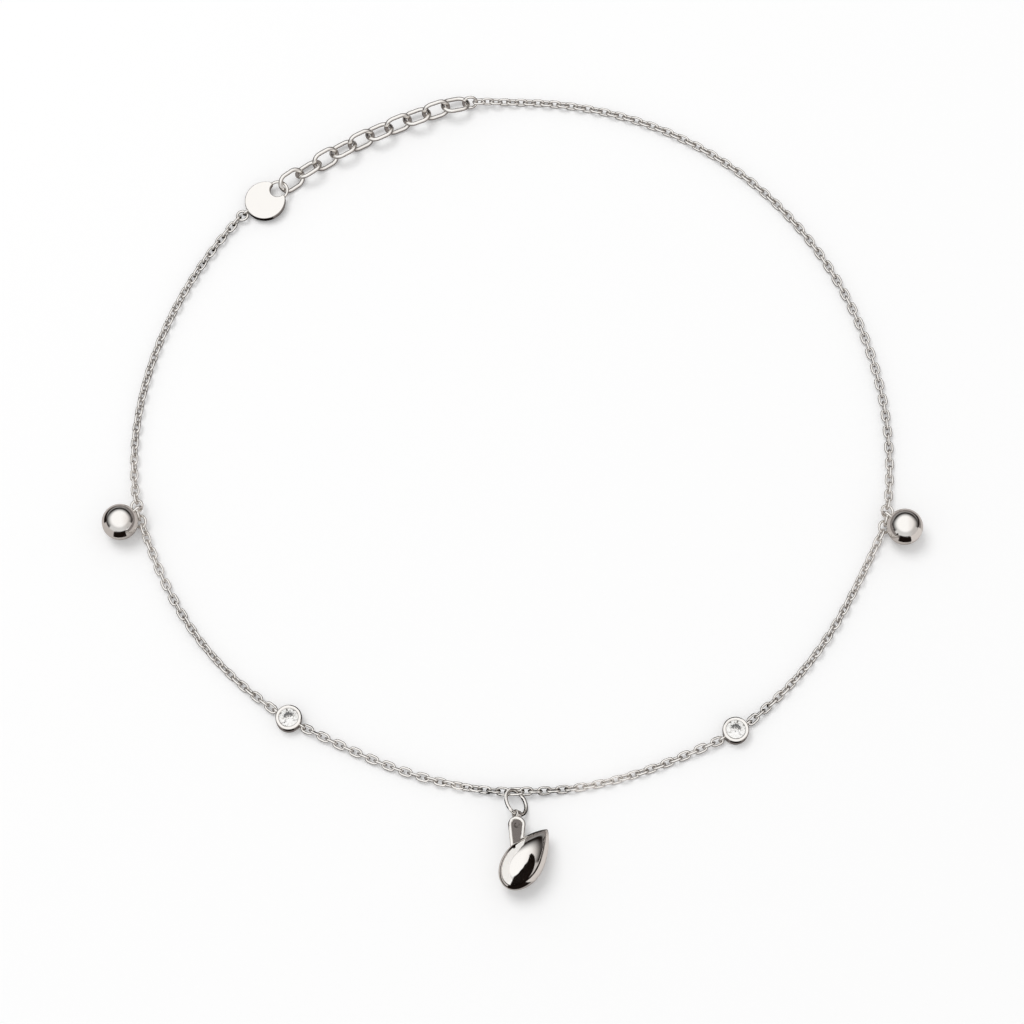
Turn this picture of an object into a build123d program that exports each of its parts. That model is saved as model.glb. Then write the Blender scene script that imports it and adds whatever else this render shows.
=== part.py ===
from build123d import *
import os
import numpy as np

# Payal anklet in polished silver, millimetres. It lies closed on the floor (z = 0) as a nearly round loop.
# The origin is the middle of the loop, on the floor. The chain is followed counter-clockwise from the clasp.

# ---- fine cable chain: stadium-shaped links that hang in each other -----------------------------------
fine_wire = 0.25
fine_width = 0.98
fine_pitch = 0.934          # aimed-at spacing of the links; each run rounds it to a whole number of links
fine_gap = 0.115            # air between two links that hang in each other

# ---- extension chain ----------------------------------------------------------------------------------
extension_wire = 0.46
extension_width = 2.40
extension_links = 10
extension_gap = 0.10
joint_gap = 0.08            # air between a ring and what hangs in it
floor_gap = 0.01            # links are set this far above the floor

# ---- jump rings: outer diameter and wire --------------------------------------------------------------
clasp_ring_size = (1.42, 0.27)
bell_centre_ring_size = (1.70, 0.30)
bell_jump_ring_size = (1.50, 0.27)
extension_end_ring_size = (1.78, 0.30)

# ---- clasp disc ---------------------------------------------------------------------------------------
disc_diameter = 4.44
disc_thickness = 0.74
disc_edge = 0.12            # rounding of the disc's edges
disc_centre = (-27.10, 27.46, 0.78)
disc_heading = 222.0        # direction from the extension's eye to the tail eye, degrees in plan
disc_lift = 5.0             # the eye side leans up by this angle
eye_offset = 1.84           # from the disc's middle to the eye's middle
eye_radius = 0.85
eye_bar_wire = 0.32         # the round bar that closes the eye
eye_bar_setback = 0.03      # it leaves the eye's wall by this much
tail_eye_radius = 0.34
tail_eye_wire = 0.25
tail_eye_out = 0.20         # the tail eye's middle stands this far outside the disc's edge
tail_turn = -9.0            # the tail eye sits off the disc's own axis by this angle

# ---- bells --------------------------------------------------------------------------------------------
ball_diameter = 3.80
ball_reach = 2.20           # from the middle of the centre ring to the middle of the ball
ball_swing = 22.3           # the ball hangs this far round from straight outwards, towards the pendant
bell_eye_wire = 0.28
bell_eye_radius = 0.58
bell_eye_climb = 89.0       # the eye's middle lies this steeply above the centre ring's top wire
bell_centre_roll = 91.0     # the centre ring stands upright
bell_upper_roll = 16.8      # rolls of the two jump rings, and heights where the fine chain begins
bell_upper_height = 0.79
bell_lower_roll = 33.9
bell_lower_height = 0.78
bell_bend = 8.5             # each jump ring turns into the loop by this angle

# ---- bezels and stones --------------------------------------------------------------------------------
bezel_radius = 1.36
bezel_height = 1.20
bezel_foot_radius = 1.30
bezel_waist_radius = 1.19
bezel_back_bore = 0.78      # open back below the stone
bezel_bore = 1.10           # radius of the seat round the stone's girdle
bezel_lip_bore = 0.99       # radius of the rim that is pressed over the stone
bezel_eye_radius = 0.37
bezel_eye_out = 0.22        # the side eyes' middles stand this far outside the wall
bezel_eye_height = 0.52
stone_radius = 1.04
stone_girdle_height = 0.93
stone_culet_height = 0.10
stone_table_height = 1.19
stone_table_radius = 0.56

# ---- pendant ------------------------------------------------------------------------------------------
pendant_link_length = 2.09
pendant_link_width = 1.39
pendant_link_wire = 0.26
pendant_link_roll = -41.0
pendant_link_pitch = 5.3    # it climbs along the chain by this angle
pendant_link_height = 0.91
pendant_ring_wire = 0.38
pendant_ring_roll = -42.5   # its right side leans down to the floor
pendant_ring_top = (0.226, -39.877, 0.835)
pendant_ring_bottom = (0.38, -42.53, 1.47)
drop_tip = (3.47, -44.24, 1.80)
drop_end = (-0.74, -50.36, 2.32)
drop_radius = 2.08
drop_shoulder = 0.61        # the widest place, as a share of the length from the tip
drop_blunting = 0.13        # the tip's handle, as a share of the radius
drop_fullness = 0.53        # the shoulder's handle, as a share of the length before the shoulder
bail_eye_bore = 0.30        # short tube round the pendant ring's wire
bail_eye_wall = 0.14
bail_eye_length = 0.62
bail_wire = 0.40            # rim of the bail: an arch and two legs that end inside the drop
bail_radius = 0.68
bail_taper = 5.5            # each leg leans in by this angle
bail_arch = (0.38, -43.67, 1.73)    # middle of the arch
bail_left_leg = 3.45
bail_right_leg = 2.25
bail_pitch = 5.0            # the legs climb by this angle towards the drop
bail_plate_thickness = 0.18
bail_plate_drop = 0.10      # the plate between the legs lies this far below the middle of the rim's wire
bail_scoop_radius = 0.46    # round hollow pressed into the plate's upper side, below the arch
bail_scoop_depth = 0.12
bail_scoop_reach = 0.05     # from the middle of the arch to the middle of the hollow

# ---- stations on the loop: middle of the piece and the chain's heading there, degrees -----------------
stations = {
    "left bell": (-39.45, -9.45, -74.5),
    "left stone": (-23.03, -32.07, -31.5),
    "pendant": (0.13, -39.97, 0.0),
    "right stone": (22.83, -33.37, 32.5),
    "right bell": (39.25, -10.05, 76.5),
    "extension end": (-4.75, 39.60, 187.0),
}

# ---- the extension's own curve, the rolls of its first, middle and last link, and its end ring ---------
extension_handles = ((-12.7, 37.35), (-19.3, 33.88))
extension_rolls = (22, 22, -50)
extension_end_roll = -68
extension_end_height = 0.98
clasp_ring_heading = -139.0
clasp_ring_roll = 8
clasp_ring_height = 0.56    # of the contact where the fine chain begins

# ---- the chain runs between the stations --------------------------------------------------------------
# node, first and last bend handle of the run's curve in plan, rolls of its first, middle and last link
runs = [
    ("chain_clasp_to_left_bell", (-38.0, 15.4), (-41.6, 2.6), (90, 130, 107)),
    ("chain_left_bell_to_left_stone", (-35.6, -20.2), (-31.8, -25.8), (124, 70, 20)),
    ("chain_left_stone_to_pendant", (-13.9, -36.8), (-9.5, -39.0), (20, 20, 36)),
    ("chain_pendant_to_right_stone", (9.2, -39.5), (13.0, -38.1), (35, 50, 20)),
    ("chain_right_stone_to_right_bell", (31.7, -26.1), (34.3, -21.0), (20, 70, 124)),
    ("chain_right_bell_to_extension", (43.0, 15.0), (26.3, 42.6), (107, 45, 22)),
]


# ---- directions and places ----------------------------------------------------------------------------
def unit(vector):
    vector = np.asarray(vector, float)
    return vector / np.linalg.norm(vector)


def heading(degrees):
    """Level unit vector that points this way in plan."""
    return np.array([np.cos(np.radians(degrees)), np.sin(np.radians(degrees)), 0.0])


def side_of(axis, roll):
    """Cross direction of a link on this axis: level and into the loop at roll 0, upwards at roll 90."""
    level = unit(np.cross([0, 0, 1], axis))
    upward = np.cross(axis, level)
    turn = np.radians(roll)
    return np.cos(turn) * level + np.sin(turn) * upward


def frame_at(point, along, across):
    """Plane at a point whose x runs along and whose y runs across."""
    return Plane(origin=tuple(point), x_dir=tuple(along), z_dir=tuple(np.cross(along, across)))


def resting_height(width, wire, roll):
    """Height of a link's middle line when it lies on the floor at this roll."""
    return (width - wire) / 2 * abs(np.sin(np.radians(roll))) + wire / 2 + floor_gap


# ---- rings and links ----------------------------------------------------------------------------------
def ring(diameter, wire):
    return Torus((diameter - wire) / 2, wire / 2)


def link(length, width, wire):
    """Oval link: a round wire along two straights and two half circles, lengthways on x."""
    if length - width < 1e-4:
        return ring(width, wire)
    straight, bend = (length - width) / 2, (width - wire) / 2
    with BuildLine() as middle:
        Line((-straight, bend), (straight, bend))
        ThreePointArc((straight, bend), (straight + bend, 0), (straight, -bend))
        Line((straight, -bend), (-straight, -bend))
        ThreePointArc((-straight, -bend), (-straight - bend, 0), (-straight, bend))
    section = Plane(origin=(-straight, bend, 0), z_dir=(1, 0, 0)) * Circle(wire / 2)
    return sweep(section, path=middle.line)


def hang(first, last, width, wire, roll, gap):
    """A link between two contacts. A contact is the middle of the air gap where it hangs in its neighbour."""
    first, last = np.asarray(first, float), np.asarray(last, float)
    reach = np.linalg.norm(last - first)
    along = (last - first) / reach
    length = reach + 2 * wire + gap
    body = link(max(length, width), width, wire)
    return frame_at((first + last) / 2, along, side_of(along, roll)).location * body


def contact_reach(size, gap):
    """From a ring's middle to the contact where its neighbour hangs."""
    diameter, wire = size
    return diameter / 2 - wire - gap / 2


# ---- runs of chain ------------------------------------------------------------------------------------
def bend_points(start, first_handle, last_handle, end, count):
    """Evenly spaced points on the cubic curve from start to end that leaves and arrives by its handles."""
    u = np.linspace(0, 1, 2001)[:, None]
    curve = (
        (1 - u) ** 3 * np.asarray(start)
        + 3 * u * (1 - u) ** 2 * np.asarray(first_handle)
        + 3 * u**2 * (1 - u) * np.asarray(last_handle)
        + u**3 * np.asarray(end)
    )
    travelled = np.concatenate([[0], np.cumsum(np.linalg.norm(np.diff(curve, axis=0), axis=1))])
    steps = np.linspace(0, travelled[-1], count + 1)
    return np.column_stack([np.interp(steps, travelled, curve[:, k]) for k in (0, 1)])


def run_length(start, first_handle, last_handle, end):
    points = bend_points(start, first_handle, last_handle, end, 400)
    return np.linalg.norm(np.diff(points, axis=0), axis=1).sum()


def link_rolls(count, first, middle, last):
    """Rolls of a run's links: a slow twist, and a quarter turn from each link to the next."""
    quarter = 90 * (np.arange(count) % 2)
    last = last - quarter[-1]
    last += 180 * round((middle - last) / 180)
    return np.interp(np.linspace(0, 1, count), [0, 0.5, 1], [first, middle, last]) + quarter


def chain_contacts(start, first_handle, last_handle, end, rolls, width, wire):
    """Contacts of a run: they follow the curve and settle from the height of each end onto the floor."""
    count = len(rolls)
    plan = bend_points(start[:2], first_handle, last_handle, end[:2], count)
    resting = np.array([resting_height(width, wire, roll) for roll in rolls])
    resting = np.maximum(np.append(resting, resting[-1]), np.insert(resting, 0, resting[0]))
    settling = np.clip(1 - np.arange(count + 1) / min(6, count / 2), 0, 1) ** 2
    height = resting + settling * (start[2] - resting[0]) + settling[::-1] * (end[2] - resting[-1])
    height[1:-1] = np.maximum(height, resting)[1:-1]
    return np.column_stack([plan, height])


def chain_links(contacts, rolls, width, wire, gap):
    """One link between each pair of contacts."""
    return [hang(first, last, width, wire, roll, gap) for first, last, roll in zip(contacts, contacts[1:], rolls)]


# ---- the pieces ---------------------------------------------------------------------------------------
def disc_frame():
    """Frame of the clasp disc at its middle: x towards the tail eye, z out of its face."""
    level, lift = heading(disc_heading), np.radians(disc_lift)
    along = np.cos(lift) * level - np.sin(lift) * np.array([0, 0, 1.0])
    return frame_at(disc_centre, along, unit(np.cross([0, 0, 1], along)))


def clasp_disc():
    """Round disc with a round eye that breaks through its edge, closed by a bar, and a small tail eye."""
    body = Cylinder(disc_diameter / 2, disc_thickness)
    body = fillet(body.edges(), disc_edge)
    body -= Pos(-eye_offset, 0, 0) * Cylinder(eye_radius, 2 * disc_thickness)
    bar = Pos(-eye_offset, 0, 0) * Torus(eye_radius + eye_bar_setback + eye_bar_wire / 2, eye_bar_wire / 2)
    tail = Rot(90, 0, 0) * Torus(tail_eye_radius, tail_eye_wire / 2)
    tail = Rot(0, 0, tail_turn) * Pos(disc_diameter / 2 + tail_eye_out, 0, 0) * tail
    return disc_frame().location * (body + bar + tail)


def disc_point(x, y):
    """World place of a point on the disc's middle plane."""
    return np.array(tuple((disc_frame().location * Pos(x, y, 0)).position))


def ball_bell(centre, out, up_to):
    """Polished ball with a round eye of wire soldered on the side that faces the chain."""
    ball = Pos(*centre) * Sphere(ball_diameter / 2)
    eye = frame_at(up_to, out, (0, 0, 1)).location * Torus(bell_eye_radius, bell_eye_wire / 2)
    return ball + eye


def bezel_cup():
    """Round open-backed cup, lathed: foot, waist, belly and a lip pressed over the stone, with two side eyes."""
    belly_top = bezel_height - 0.14
    with BuildSketch(Plane.XZ) as wall:
        with BuildLine():
            Polyline((bezel_back_bore, 0), (bezel_foot_radius, 0), (bezel_foot_radius, 0.09))
            Line((bezel_foot_radius, 0.09), (bezel_waist_radius, 0.20))
            ThreePointArc((bezel_waist_radius, 0.20), (bezel_waist_radius + 0.06, 0.42), (bezel_radius, 0.66))
            Line((bezel_radius, 0.66), (bezel_radius, belly_top))
            ThreePointArc(
                (bezel_radius, belly_top),
                (bezel_radius - 0.04, belly_top + 0.10),
                (bezel_radius - 0.14, bezel_height),
            )
            Polyline(
                (bezel_radius - 0.14, bezel_height),
                (bezel_lip_bore + 0.05, bezel_height),
                (bezel_lip_bore, bezel_height - 0.05),
                (bezel_lip_bore, stone_girdle_height + 0.12),
                (bezel_bore, stone_girdle_height + 0.05),
                (bezel_bore, stone_girdle_height - 0.10),
                (bezel_back_bore, stone_girdle_height - 0.29),
                (bezel_back_bore, 0),
            )
        make_face()
    cup = revolve(wall.sketch, axis=Axis.Z)
    eye_middle = bezel_radius + bezel_eye_out
    eye = Rot(90, 0, 0) * Torus(bezel_eye_radius, fine_wire / 2)
    for side in (-1, 1):
        loop = Pos(side * eye_middle, 0, bezel_eye_height) * eye
        cup += loop - Cylinder(bezel_waist_radius - 0.05, 4 * bezel_height)
    return cup


def brilliant():
    """Round brilliant: table, 8 mains, 8 stars and 16 halves above the girdle, 8 mains and 16 halves below."""
    stone = extrude(RegularPolygon(stone_radius, 16, rotation=0), stone_table_height - stone_culet_height)
    stone = Pos(0, 0, stone_culet_height) * stone
    flat = np.cos(np.pi / 16) * stone_radius
    crown_start, pavilion_start = stone_girdle_height + 0.03, stone_girdle_height - 0.02
    crown = np.degrees(np.arctan2(stone_table_height - crown_start, stone_radius - stone_table_radius))
    pavilion = np.degrees(np.arctan2(pavilion_start - stone_culet_height, stone_radius))
    table_flat = stone_table_radius * np.cos(np.pi / 8)
    # facets in a row, first one's turn, slope, and a radius and height that each passes through
    facets = [
        (8, 0.0, crown, stone_radius, crown_start),
        (8, 22.5, 0.62 * crown, table_flat, stone_table_height),
        (16, 11.25, crown + 7, flat, crown_start),
        (8, 0.0, 180 - pavilion, 0.0, stone_culet_height),
        (16, 11.25, 180 - pavilion - 2.4, flat, pavilion_start),
    ]
    for count, first, slope, radius, height in facets:
        for number in range(count):
            tilt = Rot(0, 0, first + number * 360 / count) * Pos(radius, 0, height) * Rot(0, slope, 0)
            stone -= tilt * Pos(0, 0, 2) * Box(6, 6, 4)
    return stone


def drop_outline(length):
    """Half outline of the drop: a blunt-tipped curve out to the shoulder, then a quarter ellipse."""
    shoulder = drop_shoulder * length
    with BuildSketch() as half:
        with BuildLine():
            Bezier(
                (0, 0),
                (0, drop_blunting * drop_radius),
                (drop_fullness * shoulder, drop_radius),
                (shoulder, drop_radius),
            )
            EllipticalCenterArc((shoulder, 0), length - shoulder, drop_radius, start_angle=0, arc_size=90)
            Line((length, 0), (0, 0))
        make_face()
    return half.sketch


def bail_side(x):
    """Half width of the bail's rim, to the middle of its wire, at x down a leg."""
    taper = np.radians(bail_taper)
    return bail_radius / np.cos(taper) - x * np.tan(taper)


def bail_outline():
    """Middle line of the rim: up the left leg, round the arch that both legs touch, and down the right leg."""
    touch = bail_radius * np.sin(np.radians(bail_taper))
    with BuildLine() as middle:
        Line((bail_left_leg, -bail_side(bail_left_leg)), (touch, -bail_side(touch)))
        ThreePointArc((touch, -bail_side(touch)), (-bail_radius, 0), (touch, bail_side(touch)))
        Line((touch, bail_side(touch)), (bail_right_leg, bail_side(bail_right_leg)))
    return middle.line


def bail_rim():
    """The bail's rim in its own frame, x down the legs and z upwards."""
    path = bail_outline()
    return sweep(Plane(origin=path @ 0, z_dir=path % 0) * Circle(bail_wire / 2), path=path)


def bail_plate():
    """The plate between the rim's two sides, with a round hollow pressed in below the arch."""
    path = bail_outline()
    outline = make_face(path + Line(path @ 1, path @ 0))
    plate = Pos(0, 0, -bail_plate_drop) * extrude(outline, bail_plate_thickness / 2, both=True)
    scoop_height = bail_plate_thickness / 2 - bail_plate_drop + bail_scoop_radius - bail_scoop_depth
    return plate - Pos(bail_scoop_reach, 0, scoop_height) * Sphere(bail_scoop_radius)


def pendant_drop():
    """Pointed drop, lathed about its long axis, with a soldered bail and the tube that holds the ring."""
    tip, end = np.array(drop_tip), np.array(drop_end)
    axis = unit(end - tip)
    body = revolve(drop_outline(np.linalg.norm(end - tip)), axis=Axis.X)
    body = frame_at(tip, axis, side_of(axis, 0)).location * body
    climb = np.radians(bail_pitch)
    along = np.array([0, -np.cos(climb), np.sin(climb)])
    bail = frame_at(bail_arch, along, (1, 0, 0)).location * (bail_rim() + bail_plate())
    tube = Cylinder(bail_eye_bore + bail_eye_wall, bail_eye_length) - Cylinder(bail_eye_bore, 2 * bail_eye_length)
    wire_way = side_of(ring_axis(), pendant_ring_roll)
    tube = Plane(origin=pendant_ring_bottom, z_dir=tuple(wire_way)).location * tube
    return body + bail + tube


def ring_axis():
    """Direction from the pendant ring's top to its bottom."""
    return unit(np.array(pendant_ring_bottom) - np.array(pendant_ring_top))


def pendant_ring():
    """Round ring through the chain's link above and the bail's tube below."""
    top, bottom = np.array(pendant_ring_top), np.array(pendant_ring_bottom)
    diameter = np.linalg.norm(bottom - top) + pendant_ring_wire
    place = frame_at((top + bottom) / 2, ring_axis(), side_of(ring_axis(), pendant_ring_roll))
    return place.location * ring(diameter, pendant_ring_wire)


# ---- assembly -----------------------------------------------------------------------------------------
parts = {}


def bell_station(name, near_side):
    """Ball, upright centre ring and a jump ring on each side; the near side is where the pendant lies."""
    x, y, degrees = stations[name + " bell"]
    along, upward = heading(degrees), np.array([0, 0, 1.0])
    inward = np.cross(upward, along)
    diameter, wire = bell_centre_ring_size
    centre_reach = contact_reach(bell_centre_ring_size, joint_gap)
    jump_reach = contact_reach(bell_jump_ring_size, joint_gap)
    middle = np.array([x, y, resting_height(diameter, wire, bell_centre_roll)])
    contacts = [middle - centre_reach * along, middle + centre_reach * along]
    parts[f"bell_{name}_centre_ring"] = hang(*contacts, diameter, wire, bell_centre_roll, joint_gap)
    bend, chain_ends = np.radians(bell_bend), []
    for side, contact in zip((-1, 1), contacts):
        lower = side == near_side
        roll, height = (bell_lower_roll, bell_lower_height) if lower else (bell_upper_roll, bell_upper_height)
        fall = contact[2] - height
        away = side * np.cos(bend) * along + np.sin(bend) * inward
        far = contact + np.sqrt((2 * jump_reach) ** 2 - fall**2) * away - fall * upward
        ends = (far, contact) if side < 0 else (contact, far)
        node = f"bell_{name}_lower_ring" if lower else f"bell_{name}_upper_ring"
        parts[node] = hang(*ends, *bell_jump_ring_size, roll, joint_gap)
        chain_ends.append(far)
    swing, climb = np.radians(ball_swing), np.radians(bell_eye_climb)
    outward = near_side * np.sin(swing) * along - np.cos(swing) * inward
    top_wire = middle + (diameter - wire) / 2 * side_of(along, bell_centre_roll)
    hold = bell_eye_radius - wire / 2 - bell_eye_wire / 2 - joint_gap
    eye_middle = top_wire + hold * (np.cos(climb) * outward + np.sin(climb) * upward)
    ball_middle = middle + ball_reach * outward
    ball_middle[2] = ball_diameter / 2
    parts[f"bell_{name}"] = ball_bell(ball_middle, outward, eye_middle)
    return chain_ends


def stone_station(name):
    """Bezel and stone; its two side eyes are where the fine chain begins."""
    x, y, degrees = stations[name + " stone"]
    place = Pos(x, y, 0) * Rot(0, 0, degrees)
    parts[f"bezel_{name}"] = place * bezel_shape
    parts[f"stone_{name}"] = place * stone_shape
    reach = bezel_radius + bezel_eye_out + bezel_eye_radius - fine_wire / 2 - fine_gap / 2
    middle = np.array([x, y, bezel_eye_height])
    return [middle - reach * heading(degrees), middle + reach * heading(degrees)]


def ring_station(node, name, length, width, wire, roll, pitch, height):
    """A single link of the chain, climbing along the chain by its pitch."""
    x, y, degrees = stations[name]
    reach, middle = (length - 2 * wire - joint_gap) / 2, np.array([x, y, height])
    climb = np.radians(pitch)
    along = np.cos(climb) * heading(degrees) + np.sin(climb) * np.array([0, 0, 1.0])
    ends = [middle - reach * along, middle + reach * along]
    parts[node] = hang(*ends, width, wire, roll, joint_gap)
    return ends


bezel_shape, stone_shape = bezel_cup(), brilliant()

parts["clasp_disc"] = clasp_disc()
tail_reach = disc_diameter / 2 + tail_eye_out + tail_eye_radius - tail_eye_wire / 2 - joint_gap / 2
tail_angle = np.radians(tail_turn)
tail_contact = disc_point(tail_reach * np.cos(tail_angle), tail_reach * np.sin(tail_angle))
eye_contact = disc_point(-eye_offset - eye_radius + extension_gap / 2, 0)
clasp_far = tail_contact + 2 * contact_reach(clasp_ring_size, joint_gap) * heading(clasp_ring_heading)
clasp_far[2] = clasp_ring_height
parts["clasp_ring"] = hang(tail_contact, clasp_far, *clasp_ring_size, clasp_ring_roll, joint_gap)

left_bell = bell_station("left", 1)
left_stone = stone_station("left")
pendant = ring_station(
    "pendant_link", "pendant", pendant_link_length, pendant_link_width, pendant_link_wire,
    pendant_link_roll, pendant_link_pitch, pendant_link_height,
)
right_stone = stone_station("right")
right_bell = bell_station("right", -1)
end_diameter, end_wire = extension_end_ring_size
extension_end = ring_station(
    "extension_end_ring", "extension end", end_diameter, end_diameter, end_wire,
    extension_end_roll, 0, extension_end_height,
)

chain_ends = [clasp_far, *left_bell, *left_stone, *pendant, *right_stone, *right_bell, extension_end[0]]
for (node, first_handle, last_handle, rolls), start, end in zip(runs, chain_ends[0::2], chain_ends[1::2]):
    count = round(run_length(start[:2], first_handle, last_handle, end[:2]) / fine_pitch)
    rolls = link_rolls(count, *rolls)
    contacts = chain_contacts(start, first_handle, last_handle, end, rolls, fine_width, fine_wire)
    parts[node] = Compound(children=chain_links(contacts, rolls, fine_width, fine_wire, fine_gap))
    print(node, count, "links, spacing", round(float(np.linalg.norm(contacts[2] - contacts[1])), 3))

rolls = link_rolls(extension_links, *extension_rolls)
contacts = chain_contacts(extension_end[1], *extension_handles, eye_contact, rolls, extension_width, extension_wire)
for number, body in enumerate(chain_links(contacts, rolls, extension_width, extension_wire, extension_gap), 1):
    parts[f"extension_link_{number:02d}"] = body

parts["pendant_ring"] = pendant_ring()
parts["pendant_drop"] = pendant_drop()

os.makedirs("parts", exist_ok=True)
for node, shape in parts.items():
    export_step(shape, f"parts/{node}.step")
print(len(parts), "nodes,", sum(len(shape.solids()) for shape in parts.values()), "solids")
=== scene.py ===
import bmesh
import bpy
import numpy as np
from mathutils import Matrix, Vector


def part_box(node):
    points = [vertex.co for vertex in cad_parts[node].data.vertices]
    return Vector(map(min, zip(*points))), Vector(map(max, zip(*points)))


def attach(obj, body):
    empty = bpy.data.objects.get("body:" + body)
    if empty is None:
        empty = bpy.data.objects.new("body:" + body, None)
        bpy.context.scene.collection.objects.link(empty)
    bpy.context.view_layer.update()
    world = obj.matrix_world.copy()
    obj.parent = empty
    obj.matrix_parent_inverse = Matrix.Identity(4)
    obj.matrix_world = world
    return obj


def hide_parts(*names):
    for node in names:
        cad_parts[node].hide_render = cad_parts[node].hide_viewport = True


mm = 0.001
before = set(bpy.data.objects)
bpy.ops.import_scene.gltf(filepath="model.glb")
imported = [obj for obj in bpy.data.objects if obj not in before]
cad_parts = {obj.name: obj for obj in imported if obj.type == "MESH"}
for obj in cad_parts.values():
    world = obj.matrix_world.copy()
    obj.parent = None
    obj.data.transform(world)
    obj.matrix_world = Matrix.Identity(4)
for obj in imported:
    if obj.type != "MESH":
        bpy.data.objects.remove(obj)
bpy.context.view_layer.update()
print("frame loaded:", len(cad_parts), "nodes")


# every surface below is a grid of points, with rows one way and columns the other
def unit(vector):
    vector = np.asarray(vector, float)
    return vector / np.linalg.norm(vector)


# unit direction in plan at this many degrees, with an optional climb
def heading(degrees, climb=0):
    turn, climb = np.radians(degrees), np.radians(climb)
    return np.array([np.cos(turn) * np.cos(climb), np.sin(turn) * np.cos(climb), np.sin(climb)])


# direction across an axis: level and to its left at roll 0, upwards at roll 90
def sideOf(axis, roll):
    level = unit(np.cross([0, 0, 1], axis))
    turn = np.radians(roll)
    return np.cos(turn) * level + np.sin(turn) * np.cross(axis, level)


# Quads between neighbouring grid points, wrapped round where the grid closes. If the volume that they
# enclose comes out negative, they face inwards and are turned about.
def gridFaces(grid, closeRows, closeColumns):
    rows, columns = grid.shape[:2]
    row = np.arange(rows if closeRows else rows - 1)[:, None]
    column = np.arange(columns if closeColumns else columns - 1)[None, :]
    nextRow, nextColumn = (row + 1) % rows, (column + 1) % columns
    corners = [(row, column), (row, nextColumn), (nextRow, nextColumn), (nextRow, column)]
    corners = np.broadcast_arrays(*(r * columns + c for r, c in corners))
    faces = np.stack(corners, axis=-1).reshape(-1, 4)
    points = grid.reshape(-1, 3) - grid.reshape(-1, 3).mean(0)
    a, b, c, d = (points[faces[:, k]] for k in range(4))
    volume = np.einsum("ij,ij->i", a, np.cross(b, c) + np.cross(c, d)).sum()
    return faces if volume > 0 else faces[:, ::-1]


# one mesh object from several closed grids, each given as (grid, closeRows, closeColumns)
def makePiece(name, surfaces, material, nodes):
    points, faces, start = [], [], 0
    for grid, closeRows, closeColumns in surfaces:
        points.append(grid.reshape(-1, 3))
        faces.append(gridFaces(grid, closeRows, closeColumns) + start)
        start += len(points[-1])
    points, faces = np.vstack(points).astype(np.float32), np.vstack(faces).astype(np.int32)
    mesh = bpy.data.meshes.new(name)
    mesh.vertices.add(len(points))
    mesh.vertices.foreach_set("co", points.ravel())
    mesh.loops.add(faces.size)
    mesh.loops.foreach_set("vertex_index", faces.ravel())
    mesh.polygons.add(len(faces))
    mesh.polygons.foreach_set("loop_start", np.arange(0, faces.size, 4, dtype=np.int32))
    mesh.polygons.foreach_set("use_smooth", np.ones(len(faces), bool))
    mesh.update(calc_edges=True)
    mesh.validate()
    mesh.materials.append(material)
    piece = bpy.data.objects.new(name, mesh)
    bpy.context.scene.collection.objects.link(piece)
    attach(piece, "root")
    if nodes:
        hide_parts(*nodes)
    return piece


# The corners of a node's separate solids. Corners closer than a tenth of a micron are one, and the
# lowest corner number is passed round each solid until it no longer changes.
def looseSolids(node):
    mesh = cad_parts[node].data
    corners = np.empty(len(mesh.vertices) * 3, np.float32)
    mesh.vertices.foreach_get("co", corners)
    mesh.calc_loop_triangles()
    triangles = np.empty(len(mesh.loop_triangles) * 3, np.int32)
    mesh.loop_triangles.foreach_get("vertices", triangles)
    points, same = np.unique(corners.reshape(-1, 3).round(7), axis=0, return_inverse=True)
    triangles = same.ravel()[triangles].reshape(-1, 3)
    label = np.arange(len(points))
    while True:
        lowest = label.copy()
        np.minimum.at(lowest, triangles, label[triangles].min(axis=1)[:, None])
        lowest = lowest[lowest]
        if (lowest == label).all():
            break
        label = lowest
    return [points[label == number].astype(float) for number in np.unique(label)]


# a link's middle, its three axes (lengthways, across, through the wire) and its half size along each
def measureLink(points):
    middle = points.mean(0)
    axes = np.linalg.svd(points - middle, full_matrices=False)[2]
    axes[2] = np.cross(axes[0], axes[1])
    along = (points - middle) @ axes.T
    low, high = along.min(0), along.max(0)
    return middle + (low + high) / 2 @ axes, axes, (high - low) / 2


# a round wire bent to an oval: a small circle carried round two half circles that the straights hold apart
def linkSurface(middle, axes, half, around, sides):
    wire, bend, straight = half[2], half[1] - half[2], max(half[0] - half[1], 0)
    steps = np.radians(np.linspace(-90, 90, around // 2))
    turn = np.concatenate([steps, steps + np.pi])[:, None]
    shift = np.repeat([straight, -straight], around // 2)[:, None]
    circle = (2 * np.pi * np.arange(sides) / sides)[None, :]
    reach = bend + wire * np.cos(circle)
    x, y, z = shift + reach * np.cos(turn), reach * np.sin(turn), wire * np.sin(circle) + 0 * turn
    grid = middle + x[..., None] * axes[0] + y[..., None] * axes[1] + z[..., None] * axes[2]
    return grid, True, True


# a ring of round wire about a middle; first and second span its plane
def ringSurface(middle, radius, wire, first, second, around=64, sides=20):
    axes = np.array([first, second, np.cross(first, second)])
    return linkSurface(middle, axes, (radius + wire / 2, radius + wire / 2, wire / 2), around, sides)


# a profile of (height along the axis, radius) turned once round the axis, starting in a slanting
# direction that no axis here lies along
def lathe(profile, foot, axis, columns=96, closeRows=False):
    axis = unit(axis)
    first = unit(np.cross(axis, [0.31, 0.95, 0.05]))
    second = np.cross(axis, first)
    turn = (2 * np.pi * np.arange(columns) / columns)[None, :, None]
    height, radius = profile[:, 0][:, None, None], profile[:, 1][:, None, None]
    grid = foot + height * axis + radius * (np.cos(turn) * first + np.sin(turn) * second)
    return grid, closeRows, True


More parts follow.
